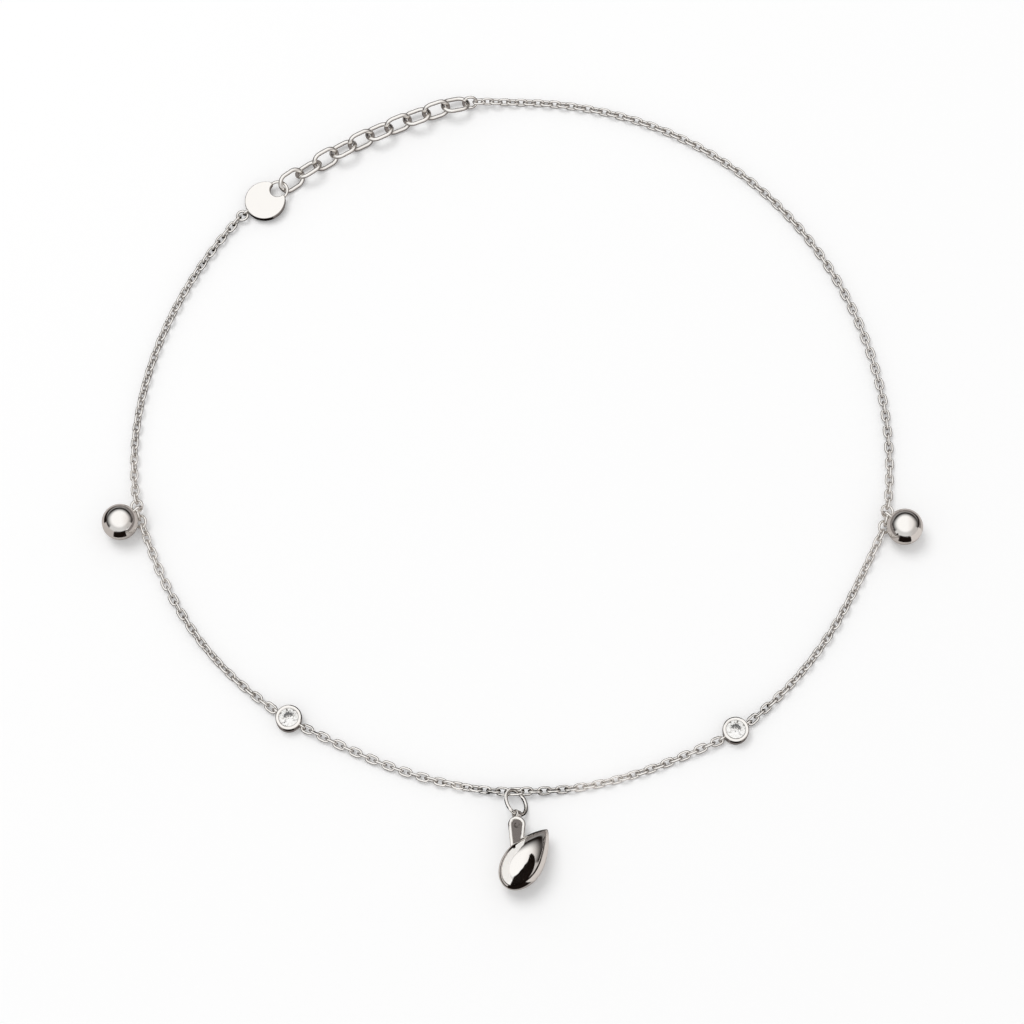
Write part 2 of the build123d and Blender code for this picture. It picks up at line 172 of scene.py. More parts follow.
# a round wire carried along an open path in one plane, closed to a point at both ends
def wireSurface(path, normal, radius, sides=20):
    along = np.gradient(path, axis=0)
    along /= np.linalg.norm(along, axis=1)[:, None]
    outward = np.cross(along, normal)
    radii = np.full(len(path), radius)
    path, outward, radii = (np.concatenate([a[:1], a, a[-1:]]) for a in (path, outward, radii))
    radii[[0, -1]] = 0
    turn = (2 * np.pi * np.arange(sides) / sides)[None, :, None]
    ring = np.cos(turn) * outward[:, None] + np.sin(turn) * np.asarray(normal)
    return path[:, None] + radii[:, None, None] * ring, False, True


# merges the points that meet at a pole, so that the shell is closed
def closePoles(piece):
    shell = bmesh.new()
    shell.from_mesh(piece.data)
    bmesh.ops.remove_doubles(shell, verts=shell.verts, dist=0.0001 * mm)
    shell.to_mesh(piece.data)
    shell.free()
    piece.data.polygons.foreach_set("use_smooth", np.ones(len(piece.data.polygons), bool))


# a colour as it is written, from its sRGB code to the linear values that a shader takes
def linear(hexColour):
    channels = np.array([int(hexColour[k:k + 2], 16) / 255 for k in (1, 3, 5)])
    channels = np.where(channels <= 0.04045, channels / 12.92, ((channels + 0.055) / 1.055) ** 2.4)
    return (*channels, 1.0)


# adds one node, sets its values by socket name or number, and links sockets of earlier nodes into it
def addNode(tree, kind, settings=None, links=None, **values):
    node = tree.nodes.new(kind)
    for name, value in values.items():
        setattr(node, name, value)
    for socket, value in (settings or {}).items():
        node.inputs[socket].default_value = value
    for socket, source in (links or {}).items():
        tree.links.new(source, node.inputs[socket])
    return node


def newMaterial(name):
    material = bpy.data.materials.new(name)
    material.use_nodes = True
    material.node_tree.nodes.clear()
    return material, material.node_tree


silverLook = {
    "colour": "#EFECE8",          # fine silver reflects nearly white, a touch warm
    "roughness": 0.06,            # mirror polish with a soft cloth haze
    "haze": 0.05,                 # how much the haze varies over the surface
    "hazeSize": 0.9 * mm,         # size of the hazy patches
    "scratchSize": 0.05 * mm,     # buffing lines, drawn coarser than real ones so that they can show
    "scratchDepth": 0.0006 * mm,
}


# sterling silver, cast or drawn and mirror polished: a bright clean reflection with faint buffing haze
def polishedSilver(name, look=silverLook):
    material, tree = newMaterial(name)
    place = addNode(tree, "ShaderNodeTexCoord").outputs["Object"]
    haze = addNode(tree, "ShaderNodeTexNoise", {
        "Scale": 1 / look["hazeSize"], "Detail": 3.0,
    }, {"Vector": place})
    roughness = addNode(tree, "ShaderNodeMapRange", {
        "From Min": 0.35, "From Max": 0.65,      # most of the noise lies between these
        "To Min": look["roughness"], "To Max": look["roughness"] + look["haze"],
    }, {"Value": haze.outputs["Fac"]})
    scratch = addNode(tree, "ShaderNodeTexNoise", {
        "Scale": 1 / look["scratchSize"], "Detail": 2.0,
    }, {"Vector": place})
    bump = addNode(tree, "ShaderNodeBump", {
        "Strength": 1.0, "Distance": look["scratchDepth"],
    }, {"Height": scratch.outputs["Fac"]})
    shader = addNode(tree, "ShaderNodeBsdfPrincipled", {
        "Base Color": linear(look["colour"]), "Metallic": 1.0,
    }, {"Roughness": roughness.outputs["Result"], "Normal": bump.outputs["Normal"]})
    addNode(tree, "ShaderNodeOutputMaterial", links={"Surface": shader.outputs["BSDF"]})
    return material


stoneLook = {
    "colour": "#FFFFFF",
    "cloud": "#F6F5F0",           # the stone is a trace warmer here and there
    "cloudSize": 0.8 * mm,
    "ior": 2.16,                  # cubic zirconia
    "roughness": 0.0,
}


# cubic zirconia, cut and polished: clear, with bright and dark facets from its own reflections
def cutZirconia(look=stoneLook):
    material, tree = newMaterial("cutZirconia")
    place = addNode(tree, "ShaderNodeTexCoord").outputs["Object"]
    cloud = addNode(tree, "ShaderNodeTexNoise", {
        "Scale": 1 / look["cloudSize"], "Detail": 1.0,
    }, {"Vector": place})
    tint = addNode(tree, "ShaderNodeMix", {
        6: linear(look["colour"]), 7: linear(look["cloud"]),
    }, {0: cloud.outputs["Fac"]}, data_type="RGBA")
    shader = addNode(tree, "ShaderNodeBsdfPrincipled", {
        "Roughness": look["roughness"], "IOR": look["ior"], "Transmission Weight": 1.0,
    }, {"Base Color": tint.outputs[2]})
    addNode(tree, "ShaderNodeOutputMaterial", links={"Surface": shader.outputs["BSDF"]})
    return material


# the bail's inside: duller where the polishing wheel doesn't reach, and its colour darkened as painted
# shade for the hollow under the arch
dullShadedLook = dict(silverLook, colour="#726C69", roughness=0.20, haze=0.12)

silverDrawn = polishedSilver("polishedSilverWire")       # chain, links and rings
silverCast = polishedSilver("polishedSilverCast")        # bells, bezels, disc and drop
# the bail plate's silver, its colour darkened to paint the shade in the hollow
silverDullShaded = polishedSilver("dullSilverPaintedShade", dullShadedLook)
stoneMaterial = cutZirconia()
print("materials made")


fineChain = {
    "around": 12,        # points round each link: few, because there are hundreds, each a millimetre long
    "sides": 6,          # points round its wire
}

chainNodes = sorted(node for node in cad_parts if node.startswith("chain_"))
for node in chainNodes:
    links = [measureLink(points) for points in looseSolids(node)]
    surfaces = [linkSurface(*link, fineChain["around"], fineChain["sides"]) for link in links]
    makePiece(node.replace("chain", "fine_links"), surfaces, silverDrawn, [node])
    print(node, len(links), "links")


wireRings = {
    "around": 64,
    "sides": 20,
}

ringNodes = sorted(
    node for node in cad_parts
    if node.startswith("extension_") or node.endswith("_ring") or node == "pendant_link"
)
for node in ringNodes:
    solid = measureLink(looseSolids(node)[0])
    surface = linkSurface(*solid, wireRings["around"], wireRings["sides"])
    makePiece(node + "_wire", [surface], silverDrawn, [node])
print("rings and extension links made:", len(ringNodes))


claspDisc = {
    "centre": np.array([-27.10, 27.46, 0.78]) * mm,
    "heading": 222,              # from the eye to the tail
    "lift": 5,
    "radius": 2.22 * mm,
    "halfThickness": 0.37 * mm,
    "edge": 0.12 * mm,           # rounding of the face's edges
    "eyeOffset": 1.84 * mm,
    "eyeRadius": 0.85 * mm,
    "barWire": 0.32 * mm,
    "barSetback": 0.03 * mm,
    "barBlend": 0.25 * mm,       # the disc goes over into the bar within this width
    "rays": 360,                 # sections round the eye
    "cornerSteps": 7,            # points round each of a section's four corners
    "tailTurn": -9,
    "tailOut": 0.20 * mm,
    "tailRadius": 0.34 * mm,
    "tailWire": 0.25 * mm,
}


# Seen from the middle of the eye, the disc runs from the eye's wall out to its rim, and where the eye
# breaks through the rim it narrows to the round bar. Each ray carries a rounded box as deep and as wide
# as the disc is there.
def discSurface(clasp, along, across, normal):
    ray = (2 * np.pi * np.arange(clasp["rays"]) / clasp["rays"])[:, None]
    offset = clasp["eyeOffset"]
    rim = offset * np.cos(ray) + np.sqrt(clasp["radius"] ** 2 - (offset * np.sin(ray)) ** 2)
    inner = clasp["eyeRadius"] + 0 * ray
    bar = inner + clasp["barSetback"] + clasp["barWire"]
    isBar = np.clip((bar - rim) / clasp["barBlend"] + 0.5, 0, 1)
    isBar = isBar ** 2 * (3 - 2 * isBar)
    outer = np.maximum(rim, bar)
    inner = inner + clasp["barSetback"] * isBar
    depth = clasp["halfThickness"] * (1 - isBar) + clasp["barWire"] / 2 * isBar
    corner = clasp["edge"] * (1 - isBar) + clasp["barWire"] / 2 * isBar
    steps = clasp["cornerSteps"]
    quarter = np.radians(np.linspace(0, 90, steps))
    turn = np.concatenate([quarter + k * np.pi / 2 for k in range(4)])[None, :]
    right = np.repeat([1, -1, -1, 1], steps)[None, :]
    top = np.repeat([1, 1, -1, -1], steps)[None, :]
    middle, halfWidth = (inner + outer) / 2, (outer - inner) / 2
    corner = np.minimum(corner, halfWidth)
    r = middle + right * (halfWidth - corner) + corner * np.cos(turn)
    z = top * (depth - corner) + corner * np.sin(turn)
    x, y = -offset + r * np.cos(ray), r * np.sin(ray)
    grid = clasp["centre"] + x[..., None] * along + y[..., None] * across + z[..., None] * normal
    return grid, True, True


along = heading(claspDisc["heading"], -claspDisc["lift"])
across = unit(np.cross([0, 0, 1], along))
normal = np.cross(along, across)
tailTurn = np.radians(claspDisc["tailTurn"])
tailAlong = np.cos(tailTurn) * along + np.sin(tailTurn) * across
tailMiddle = claspDisc["centre"] + (claspDisc["radius"] + claspDisc["tailOut"]) * tailAlong
discPiece = makePiece("clasp_disc_polished", [
    discSurface(claspDisc, along, across, normal),
    ringSurface(tailMiddle, claspDisc["tailRadius"], claspDisc["tailWire"], tailAlong, normal),
], silverCast, ["clasp_disc"])
print("clasp disc made")


bell = {
    "radius": 1.90 * mm,
    "eyeRadius": 0.58 * mm,
    "eyeWire": 0.28 * mm,
    "hold": 0.21 * mm,           # the eye's middle lies this far above the wire that it hangs on
}


# the ball is a half circle turned round an upright axis, and its eye is a ring of wire towards the chain
for side in ("left", "right"):
    node = "bell_" + side
    low, high = (np.array(corner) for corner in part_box(node))
    ballAt = low[0] + bell["radius"] if side == "left" else high[0] - bell["radius"]
    middle = np.array([ballAt, (low[1] + high[1]) / 2, bell["radius"]])
    ringMiddle, _, ringHalf = measureLink(looseSolids(node + "_centre_ring")[0])
    outward = unit((middle - ringMiddle) * [1, 1, 0])
    turn = np.linspace(0, np.pi, 65)
    profile = bell["radius"] * np.column_stack([-np.cos(turn), np.sin(turn)])
    eyeMiddle = ringMiddle + [0, 0, ringHalf[0] - ringHalf[2] + bell["hold"]]
    piece = makePiece(node + "_polished", [
        lathe(profile, middle, (0, 0, 1)),
        ringSurface(eyeMiddle, bell["eyeRadius"], bell["eyeWire"], outward, (0, 0, 1)),
    ], silverCast, [node])
    closePoles(piece)
print("bells made")


bezel = {
    "radius": 1.36 * mm, "height": 1.20 * mm, "foot": 1.30 * mm, "waist": 1.19 * mm,
    "footEdge": 0.03 * mm, "footHeight": 0.11 * mm, "footTaper": 0.02 * mm,
    "waistHeight": 0.20 * mm, "bellyRise": 0.46 * mm, "lipRound": 0.14 * mm, "lipEdge": 0.05 * mm,
    "backBore": 0.78 * mm, "bore": 1.10 * mm, "lipBore": 0.99 * mm, "girdle": 0.93 * mm,
    # heights inside the wall, measured from the stone's girdle
    "underLip": 0.12 * mm, "seatTop": 0.05 * mm, "seatFoot": -0.10 * mm, "backTop": -0.29 * mm,
    "eyeRadius": 0.37 * mm, "eyeOut": 0.22 * mm, "eyeHeight": 0.52 * mm, "eyeWire": 0.25 * mm,
}


# The wall's outline: outside from the foot over the waist and the belly to the rounded lip, and down
# inside past the stone's seat. The belly swells by a smooth step from the waist to the full radius.
def bezelProfile(b):
    edge = b["footEdge"]
    foot = np.array([
        [0, b["backBore"] + edge], [0, b["foot"] - edge], [edge, b["foot"]],
        [b["footHeight"] - edge, b["foot"]], [b["footHeight"], b["foot"] - b["footTaper"]],
    ])
    t = np.linspace(0, 1, 9)[:, None]
    swell = b["waist"] + (b["radius"] - b["waist"]) * (3 * t**2 - 2 * t**3)
    belly = np.hstack([b["waistHeight"] + b["bellyRise"] * t, swell])
    turn = np.radians(np.linspace(0, 90, 9))
    quarter = np.column_stack([np.sin(turn) - 1, np.cos(turn) - 1])
    lip = [b["height"], b["radius"]] + b["lipRound"] * quarter
    inside = np.array([
        [b["height"], b["lipBore"] + b["lipEdge"]], [b["height"] - b["lipEdge"], b["lipBore"]],
        [b["girdle"] + b["underLip"], b["lipBore"]], [b["girdle"] + b["seatTop"], b["bore"]],
        [b["girdle"] + b["seatFoot"], b["bore"]], [b["girdle"] + b["backTop"], b["backBore"]],
        [edge, b["backBore"]],
    ])
    return np.vstack([foot, belly, lip, inside])


for side in ("left", "right"):
    node = "bezel_" + side
    low, high = (np.array(corner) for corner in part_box("stone_" + side))
    foot = np.array([(low[0] + high[0]) / 2, (low[1] + high[1]) / 2, 0])
    wallPoints = looseSolids(node)[0] - foot
    far = wallPoints[np.argmax(np.hypot(wallPoints[:, 0], wallPoints[:, 1]))]
    chainWay = unit([far[0], far[1], 0])
    surfaces = [lathe(bezelProfile(bezel), foot, (0, 0, 1), closeRows=True)]
    for sign in (-1, 1):
        eyeMiddle = foot + sign * (bezel["radius"] + bezel["eyeOut"]) * chainWay
        eyeMiddle[2] = bezel["eyeHeight"]
        surfaces.append(ringSurface(eyeMiddle, bezel["eyeRadius"], bezel["eyeWire"], chainWay, (0, 0, 1)))
    makePiece(node + "_polished", surfaces, silverCast, [node])
    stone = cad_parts["stone_" + side]
    stone.data.materials.clear()
    stone.data.materials.append(stoneMaterial)
    stone.data.polygons.foreach_set("use_smooth", np.zeros(len(stone.data.polygons), bool))
print("bezels and stones made")


drop = {
    "tip": np.array([3.47, -44.24, 1.80]) * mm,
    "end": np.array([-0.74, -50.36, 2.32]) * mm,
    "radius": 2.08 * mm,
    "shoulder": 0.61,            # the widest place, as a share of the length from the tip
    "blunting": 0.13,            # the curve's handles: the larger they are, the blunter the tip
    "fullness": 0.53,            # and the fuller the shoulder
}

bail = {
    "ringTop": np.array([0.226, -39.877, 0.835]) * mm,
    "ringBottom": np.array([0.38, -42.53, 1.47]) * mm,
    "ringRoll": -42.5,
    "tubeBore": 0.30 * mm,       # the tube is bent round the pendant ring's wire
    "tubeWall": 0.14 * mm,
    "tubeLength": 0.62 * mm,
    "arch": np.array([0.38, -43.67, 1.73]) * mm,
    "radius": 0.68 * mm,
    "wire": 0.40 * mm,
    "taper": 5.5,                # each leg leans in by this angle
    "leftLeg": 3.45 * mm,
    "rightLeg": 2.25 * mm,
    "pitch": 5,                  # the legs climb towards the drop
    "plate": 0.18 * mm,
    "plateDrop": 0.10 * mm,      # the plate lies below the middle of the rim's wire
    "scoop": 0.46 * mm,          # radius of the round hollow pressed in under the arch
    "scoopDepth": 0.12 * mm,
    "scoopAt": 0.05 * mm,
}


# half outline from the tip: a cubic curve out to the shoulder, then a quarter ellipse to the round end
def dropProfile(d):
    length = np.linalg.norm(d["end"] - d["tip"])
    shoulder, radius = d["shoulder"] * length, d["radius"]
    t = (np.linspace(0, 1, 48) ** 1.5)[:, None]
    handles = np.array([
        (0, 0), (0, d["blunting"] * radius), (d["fullness"] * shoulder, radius), (shoulder, radius),
    ])
    curve = (1 - t) ** 3 * handles[0] + 3 * t * (1 - t) ** 2 * handles[1]
    curve = curve + 3 * t**2 * (1 - t) * handles[2] + t**3 * handles[3]
    turn = np.linspace(0, np.pi / 2, 40)[1:]
    end = np.column_stack([shoulder + (length - shoulder) * np.sin(turn), radius * np.cos(turn)])
    return np.vstack([curve, end])


# the bail's own axes: down the legs, to the left of them and out of its upper face
def bailAxes(b):
    down, leftward = heading(-90, b["pitch"]), np.array([-1, 0, 0])
    return down, leftward, np.cross(leftward, down)


def bailPoint(b, x, y, z):
    down, leftward, face = bailAxes(b)
    return b["arch"] + x[..., None] * down + y[..., None] * leftward + z[..., None] * face


# half width of the rim, to the middle of its wire, at x down the legs: it narrows by the taper
def bailSide(b, x):
    taper = np.radians(b["taper"])
    return b["radius"] / np.cos(taper) - x * np.tan(taper)


# the rim's middle line: up the left leg, round the arch that both legs touch and down the right leg
def bailRim(b):
    turn = np.radians(np.linspace(90 - b["taper"], 270 + b["taper"], 37))
    touch = b["radius"] * np.cos(turn[0])
    left = np.linspace(b["leftLeg"], touch, 16)[:-1]
    right = np.linspace(touch, b["rightLeg"], 16)[1:]
    x = np.concatenate([left, b["radius"] * np.cos(turn), right])
    y = np.concatenate([bailSide(b, left), b["radius"] * np.sin(turn), -bailSide(b, right)])
    return wireSurface(bailPoint(b, x, y, 0 * x), -bailAxes(b)[2], b["wire"] / 2)


# The plate fills the rim from the arch to the legs' ends, and each column keeps its share of the half
# width. A ball cuts the hollow into the upper side, and both sides meet along the rim, inside the wire.
def bailPlate(b):
    across = np.sin(np.radians(np.linspace(-90, 90, 41)))[None, :]
    share = np.linspace(0, 1, 60)[:, None]
    start = -b["radius"] * np.sqrt(1 - across**2)
    stop = b["rightLeg"] + (b["leftLeg"] - b["rightLeg"]) * (across + 1) / 2
    x = start + share * (stop - start)
    y = across * np.where(x < 0, b["radius"], np.minimum(bailSide(b, x), b["radius"]))
    ballHeight = b["scoop"] - b["scoopDepth"]
    under = b["scoop"] ** 2 - (x - b["scoopAt"]) ** 2 - y**2
    hollow = np.maximum(np.sqrt(np.maximum(under, 0)) - ballHeight, 0)
    thin = np.sqrt(1 - across**4)
    upper, lower = (b["plate"] / 2 - hollow) * thin, -b["plate"] / 2 * thin + 0 * x
    x, y, z = np.vstack([x, x[::-1]]), np.vstack([y, y[::-1]]), np.vstack([upper, lower[::-1]])
    return bailPoint(b, x, y, z - b["plateDrop"]), True, False


# a short tube with rounded ends round the ring's wire
def bailTube(b):
    wireWay = sideOf(unit(b["ringBottom"] - b["ringTop"]), b["ringRoll"])
    half, corner = b["tubeLength"] / 2, b["tubeWall"] / 2
    turn = np.radians(np.linspace(0, 180, 9))[1:-1]
    end = np.column_stack([corner * np.sin(turn), corner * np.cos(turn)])
    middle = b["tubeBore"] + corner
    outer, inner = b["tubeBore"] + b["tubeWall"], b["tubeBore"]
    profile = np.vstack([
        [[-half + corner, outer], [half - corner, outer]], end + [half - corner, middle],
        [[half - corner, inner], [-half + corner, inner]], -end + [-half + corner, middle],
    ])
    return lathe(profile, b["ringBottom"], wireWay, columns=48, closeRows=True)


dropPiece = makePiece("pendant_drop_polished", [
    lathe(dropProfile(drop), drop["tip"], drop["end"] - drop["tip"], columns=128),
    bailRim(bail), bailTube(bail),
], silverCast, ["pendant_drop"])
closePoles(dropPiece)
# the bail plate, dressed in the silver with painted shade
platePiece = makePiece("bail_plate_painted_shade", [bailPlate(bail)], silverDullShaded, [])
closePoles(platePiece)
print("pendant drop made")


studio = {
    "tableSize": 4.0,
    "tableColour": "#F7F7F7",
    "tableLift": 0.128,          # what a white sheet lit from below adds of its own
    "cardLift": 0.35,            # and the small white card
    "worldLevel": 0.62,          # strength of the world as a light
    "keyPower": 11.0,
    "keySize": 1.05,
    "keyPlace": (-0.52, 0.49, 1.60),
}


def stagePiece(name, points, faces, material):
    mesh = bpy.data.meshes.new(name)
    mesh.from_pydata(points, [], faces)
    mesh.materials.append(material)
    piece = bpy.data.objects.new(name, mesh)
    bpy.context.scene.collection.objects.link(piece)
    return piece


# only polished metal and the stones see such a piece: it hides neither the view nor the lamps
def reflectedOnly(piece):
    piece.visible_camera = piece.visible_diffuse = piece.visible_shadow = False


# 1 for what is seen straight, in metal or through a stone, and 0 for the light that falls on things
def seenByCamera(tree):
    rays = addNode(tree, "ShaderNodeLightPath").outputs
    seen = rays["Is Camera Ray"]
    for ray in ("Is Glossy Ray", "Is Transmission Ray"):
        both = addNode(tree, "ShaderNodeMath", links={0: seen, 1: rays[ray]}, operation="MAXIMUM")
        seen = both.outputs[0]
    return seen


# matt white sheet lit a little from below, so that it stays white and still takes the shadows
def whiteSheet(name, lift):
    material, tree = newMaterial(name)
    level = addNode(tree, "ShaderNodeMath", {1: lift}, {0: seenByCamera(tree)}, operation="MULTIPLY")
    matt = addNode(tree, "ShaderNodeBsdfDiffuse", {"Color": linear(studio["tableColour"])})
    glow = addNode(tree, "ShaderNodeEmission", {"Color": (1, 1, 1, 1)}, {"Strength": level.outputs[0]})
    both = addNode(tree, "ShaderNodeAddShader", links={0: matt.outputs[0], 1: glow.outputs[0]})
    addNode(tree, "ShaderNodeOutputMaterial", links={"Surface": both.outputs[0]})
    return material


half = studio["tableSize"] / 2
tableCorners = [(-half, -half, 0), (half, -half, 0), (half, half, 0), (-half, half, 0)]
stagePiece("table", tableCorners, [(0, 1, 2, 3)], whiteSheet("whiteSheet", studio["tableLift"]))

# What the polished metal sees lying on the table: grey felt under the anklet and black felt beyond it.
# Turns are in degrees, with 0 to the right, 90 to the back and -90 towards the viewer.
felt = {
    "black": "#1A1310",
    "grey": "#8C8684",
    "pale": "#CBC5C2",
    "light": "#E6E0DD",
    "step": 0.01 * mm,           # each sheet lies this far above the one before
    "reach": 0.6,
    "greyReach": 50 * mm,        # the grey felt ends here at the sides and the front
    "openTurns": [(-152, -112), (-66, -4), (20, 160)],      # but goes on to the tent between these turns
}

# sheets round the larger pieces, each above the one before: the piece, the felt, the first and last
# turn, and the inner and outer edge in millimetres from the piece's middle
sheets = [
    ("bell_left", "pale", -180, 180, 0, 8.5),
    ("bell_left", "pale", -180, -116, 0, 600),
    ("bell_left", "black", -118, -62, 3.6, 60),
    ("bell_right", "pale", -180, 180, 0, 8.5),
    ("bell_right", "light", -64, -2, 0, 600),
    ("bell_right", "black", -118, -62, 3.6, 60),
    ("pendant_drop", "pale", -180, 180, 0, 5.5),
    ("pendant_drop", "light", -62, 60, 0, 14),
    ("pendant_drop", "light", 115, 245, 5.0, 10),
    ("pendant_drop", "black", 115, 245, 5.6, 7.4),
    ("pendant_drop", "black", -118, -62, 6.2, 60),
    ("clasp_disc", "black", -150, -66, 2.1, 12),
    ("bezel_left", "black", -118, -62, 1.5, 9),
    ("bezel_right", "black", -118, -62, 1.5, 9),
    ("bezel_left", "black", 5, 95, 1.8, 5),
    ("bezel_right", "black", 5, 95, 1.8, 5),
]

# a black patch under the pendant ring and the bail: its front left and back right corner
patch = {"low": (-5.0, -43.8), "high": (6.0, -35.0)}

# Strips of card that stand round a piece, each this far from its middle. The lower and upper edge are
# heights in degrees, seen from that middle, at the turns given. They stand clear of the chain.
cards = {
    # black, round the front right of the drop and higher than it is
    "blackCard": {
        "distance": 9.0 * mm, "turns": (-112, -70, -20, 40),
        "low": (-22, -14, 10, 40), "high": (38, 62, 66, 47),
    },
    # white, round its left side
    "whiteCard": {
        "distance": 9.0 * mm, "turns": (96, 115, 200, 246),
        "low": (-14, -14, -14, -14), "high": (14, 30, 34, 24),
    },
    # black, behind each bezel and to the left of the pendant ring
    "blackCard_bezel_left": {
        "distance": 5.0 * mm, "turns": (0, 90), "low": (-20, -20), "high": (44, 44),
    },
    "blackCard_bezel_right": {
        "distance": 5.0 * mm, "turns": (66, 140), "low": (-20, -20), "high": (44, 44),
    },
    "blackCard_pendant_ring": {
        "distance": 3.6 * mm, "turns": (158, 225), "low": (-24, -24), "high": (26, 32),
    },
}
cardHeight = 1.4 * mm            # a small piece's middle is taken this far above the table
dropRaise = 1.2 * mm             # and the drop's this far above the point two thirds down its axis


# wool felt and paper card, with no sheen
def mattSurface(name, colour):
    material, tree = newMaterial(name)
    matt = addNode(tree, "ShaderNodeBsdfDiffuse", {"Color": linear(colour)})
    addNode(tree, "ShaderNodeOutputMaterial", links={"Surface": matt.outputs[0]})
    return material


# a fan round a point on the table, from one reach to another at each turn
def fan(name, middle, degrees, start, stop, height, material):
    turn = np.radians(degrees)
    way = np.stack([np.cos(turn), np.sin(turn)], axis=1)
    start, stop = (np.broadcast_to(reach, turn.shape)[:, None] for reach in (start, stop))
    grid = np.stack([middle + start * way, middle + stop * way])
    grid = np.concatenate([grid, np.full(grid.shape[:2] + (1,), height)], axis=2)
    faces = gridFaces(grid, False, False).tolist()
    reflectedOnly(stagePiece(name, grid.reshape(-1, 3).tolist(), faces, material))


# a strip of card round a middle, one row of points along each edge; no part of it goes below the sheets
def cardStrip(name, middle, card, lowest, material):
    turns = np.linspace(card["turns"][0], card["turns"][-1], 31)
    edges = [heading(turns, np.interp(turns, card["turns"], card[edge])).T for edge in ("low", "high")]
    strip = middle + card["distance"] * np.array(edges)
    strip[..., 2] = np.maximum(strip[..., 2], lowest)
    faces = gridFaces(strip, False, False).tolist()
    reflectedOnly(stagePiece(name, strip.reshape(-1, 3).tolist(), faces, material))


# the middle of a piece's box in plan, or for a bell its ball's middle: the box is as deep as the ball
def planMiddle(node):
    low, high = (np.array(corner)[:2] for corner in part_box(node))
    middle, halfDepth = (low + high) / 2, (high[1] - low[1]) / 2
    if node.startswith("bell"):
        middle[0] = low[0] + halfDepth if "left" in node else high[0] - halfDepth
    return middle


feltColours = {
    name: mattSurface(name + "Felt", felt[name]) for name in ("black", "grey", "pale", "light")
}
turns = np.linspace(-180, 180, 181)
isOpen = np.any([(turns > first) & (turns < last) for first, last in felt["openTurns"]], axis=0)
greyEdge = np.where(isOpen, felt["reach"], felt["greyReach"])
fan("blackFelt", (0, 0), turns, 0, felt["reach"], felt["step"], feltColours["black"])
fan("greyFelt", (0, 0), turns, 0, greyEdge, 2 * felt["step"], feltColours["grey"])
for number, (node, colour, start, stop, inner, outer) in enumerate(sheets, 3):
    name, height = f"{colour}Sheet_{node}_{number}", number * felt["step"]
    degrees = np.linspace(start, stop, 37)
    fan(name, planMiddle(node), degrees, inner * mm, outer * mm, height, feltColours[colour])

(west, south), (east, north) = np.array(patch["low"]) * mm, np.array(patch["high"]) * mm
level = (len(sheets) + 3) * felt["step"]
patchCorners = [(west, south, level), (east, south, level), (east, north, level), (west, north, level)]
reflectedOnly(stagePiece("blackPatch", patchCorners, [(0, 1, 2, 3)], feltColours["black"]))

dropMiddle = (drop["tip"] + 2 * drop["end"]) / 3 + [0, 0, dropRaise]
for name, card in cards.items():
    node = name.partition("_")[2]
    middle = np.append(planMiddle(node), cardHeight) if node else dropMiddle
    isWhite = name.startswith("white")
    material = whiteSheet("backlitCard", studio["cardLift"]) if isWhite else feltColours["black"]
    cardStrip(name, middle, card, level, material)
print("felt and cards laid")


tent = {
    "radius": 0.6,
    "top": 1.12,                 # brightness overhead, as a share of white
    "dark": "#1A1310",           # the dark room seen below the cloth's edge
    "right": "#E8E4E2",          # the far right wall is a little greyer
    "fade": (1, 46),             # the cloth brightens between these heights, in degrees above the table
    "backFade": (14, 46),
    "backStrip": 0.30,           # brightness of the strip below the dark band at the back
    "stripFade": (5, 9),         # the strip darkens between these heights
    "frontFade": (2, 5),         # and the front brightens sooner
    "frontLevel": 0.72,
    "frontSpread": 10,           # the front goes this far past the open turns
    "openTurns": [(-150, -114), (-64, -8)],     # to the front left and right the cloth reaches the table
    "softTurn": 4,               # each of these turns is this soft
    "backStart": (0.1, 0.8),     # the back begins and is complete at these shares of the way backwards
    "rightStart": (0.1, 0.9),    # and the right wall to the right
}


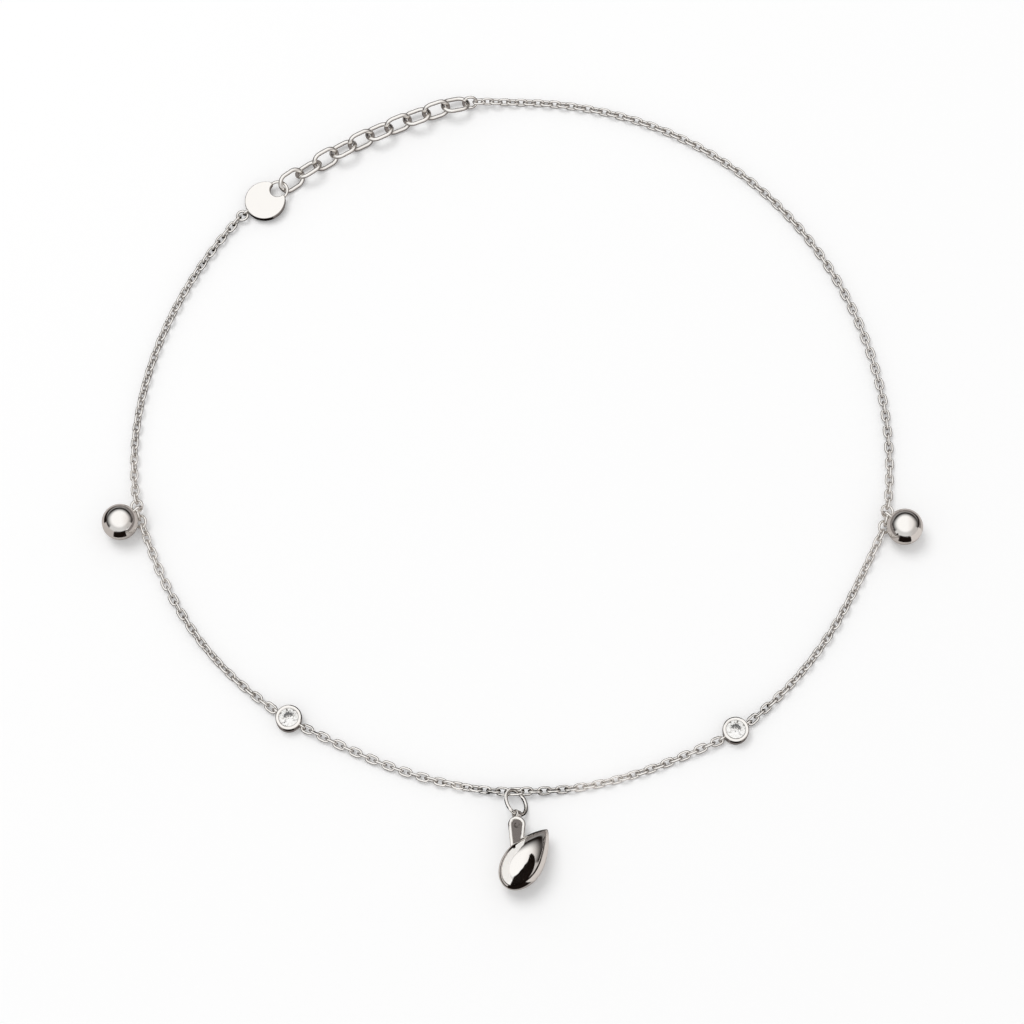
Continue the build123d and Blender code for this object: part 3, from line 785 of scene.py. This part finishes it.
# The light tent: a dome whose brightness follows the direction from the middle of the table. It is dark
# at the table and brightens with height, slowly at the sides and the back and quickly at the front.
def tentCloth():
    material, tree = newMaterial("tentCloth")
    place = addNode(tree, "ShaderNodeTexCoord").outputs["Object"]
    way = addNode(tree, "ShaderNodeVectorMath", operation="NORMALIZE", links={0: place})
    split = addNode(tree, "ShaderNodeSeparateXYZ", links={0: way.outputs[0]}).outputs

    def combine(operation, *sources):
        links = dict(enumerate(sources))
        return addNode(tree, "ShaderNodeMath", links=links, operation=operation).outputs[0]

    def ramp(value, start, stop, first=0.0, last=1.0):
        return addNode(tree, "ShaderNodeMapRange", {
            "From Min": start, "From Max": stop, "To Min": first, "To Max": last,
        }, {"Value": value}, interpolation_type="SMOOTHSTEP").outputs[0]

    climb = combine("ARCSINE", split["Z"])
    turn = combine("ARCTAN2", split["Y"], split["X"])
    soft = tent["softTurn"]

    def between(low, high):
        risen = ramp(turn, *np.radians((low - soft, low + soft)))
        notFallen = ramp(turn, *np.radians((high - soft, high + soft)), 1.0, 0.0)
        return combine("MULTIPLY", risen, notFallen)

    sideLevel = ramp(climb, *np.radians(tent["fade"]), 0.0, tent["top"])
    strip = ramp(climb, *np.radians(tent["stripFade"]), tent["backStrip"], 0.0)
    backLevel = combine("MAXIMUM", ramp(climb, *np.radians(tent["backFade"]), 0.0, tent["top"]), strip)
    isBack = ramp(split["Y"], *tent["backStart"])
    level = addNode(tree, "ShaderNodeMix", links={0: isBack, 2: sideLevel, 3: backLevel}).outputs[0]
    (leftStart, leftStop), (rightStart, rightStop) = tent["openTurns"]
    isFront = between(leftStop - tent["frontSpread"], rightStart + tent["frontSpread"])
    front = combine("MULTIPLY", isFront, ramp(climb, *np.radians(tent["frontFade"])))
    sides = combine("MAXIMUM", between(leftStart, leftStop), between(rightStart, rightStop))
    bright = addNode(tree, "ShaderNodeMath", {1: tent["frontLevel"]}, {
        0: combine("MAXIMUM", front, sides),
    }, operation="MULTIPLY").outputs[0]
    level = combine("MAXIMUM", level, bright)
    cloth = addNode(tree, "ShaderNodeMix", {6: (1, 1, 1, 1), 7: linear(tent["right"])}, {
        0: ramp(split["X"], *tent["rightStart"]),
    }, data_type="RGBA").outputs[2]
    colour = addNode(tree, "ShaderNodeMix", {6: linear(tent["dark"])}, {
        0: level, 7: cloth,
    }, data_type="RGBA")
    # the dark room keeps its own colour, and only what is brighter than white gets more
    strength = addNode(tree, "ShaderNodeMath", {1: 1.0}, {0: level}, operation="MAXIMUM").outputs[0]
    glow = addNode(tree, "ShaderNodeEmission", links={"Color": colour.outputs[2], "Strength": strength})
    addNode(tree, "ShaderNodeOutputMaterial", links={"Surface": glow.outputs[0]})
    return material


# a half ball: climbs from the table to the top and turns once round
def tentDome():
    climb = np.radians(np.linspace(0, 90, 25))[:, None]
    turn = (2 * np.pi * np.arange(72) / 72)[None, :]
    x, y, z = np.cos(climb) * np.cos(turn), np.cos(climb) * np.sin(turn), np.sin(climb) + 0 * turn
    grid = tent["radius"] * np.stack([x, y, z], axis=-1)
    faces = gridFaces(grid, False, True).tolist()
    return stagePiece("tent", grid.reshape(-1, 3).tolist(), faces, tentCloth())


reflectedOnly(tentDome())

# a white world that lights the table softly and shows plain white
world = bpy.data.worlds.new("studioWorld")
bpy.context.scene.world = world
world.use_nodes = True
tree = world.node_tree
tree.nodes.clear()
strength = addNode(tree, "ShaderNodeMapRange", {
    "To Min": studio["worldLevel"], "To Max": 1.0,
}, {"Value": seenByCamera(tree)})
glow = addNode(tree, "ShaderNodeBackground", {"Color": (1, 1, 1, 1)}, {"Strength": strength.outputs[0]})
addNode(tree, "ShaderNodeOutputWorld", links={"Surface": glow.outputs[0]})

lamp = bpy.data.lights.new("keySoftbox", "AREA")
lamp.shape, lamp.size, lamp.energy = "DISK", studio["keySize"], studio["keyPower"]
key = bpy.data.objects.new("keySoftbox", lamp)
bpy.context.scene.collection.objects.link(key)
key.location = studio["keyPlace"]
key.rotation_euler = Vector(studio["keyPlace"]).to_track_quat("Z", "Y").to_euler()
key.visible_glossy = False       # the tent already stands for it in reflections

view = {
    "target": Vector((-0.105, -8.907, 0)) * mm,
    "elevation": 68,
    "distance": 350 * mm,
    "lens": 116.6,
}
camera = bpy.data.cameras.new("camera")
camera.lens, camera.sensor_width = view["lens"], 36
camera.clip_start, camera.clip_end = 0.01, 10
cameraObject = bpy.data.objects.new("camera", camera)
bpy.context.scene.collection.objects.link(cameraObject)
away = Vector(heading(-90, view["elevation"]))
cameraObject.location = view["target"] + view["distance"] * away
cameraObject.rotation_euler = away.to_track_quat("Z", "Y").to_euler()
bpy.context.scene.camera = cameraObject
bpy.context.scene.view_settings.view_transform = "Standard"
print("studio set")
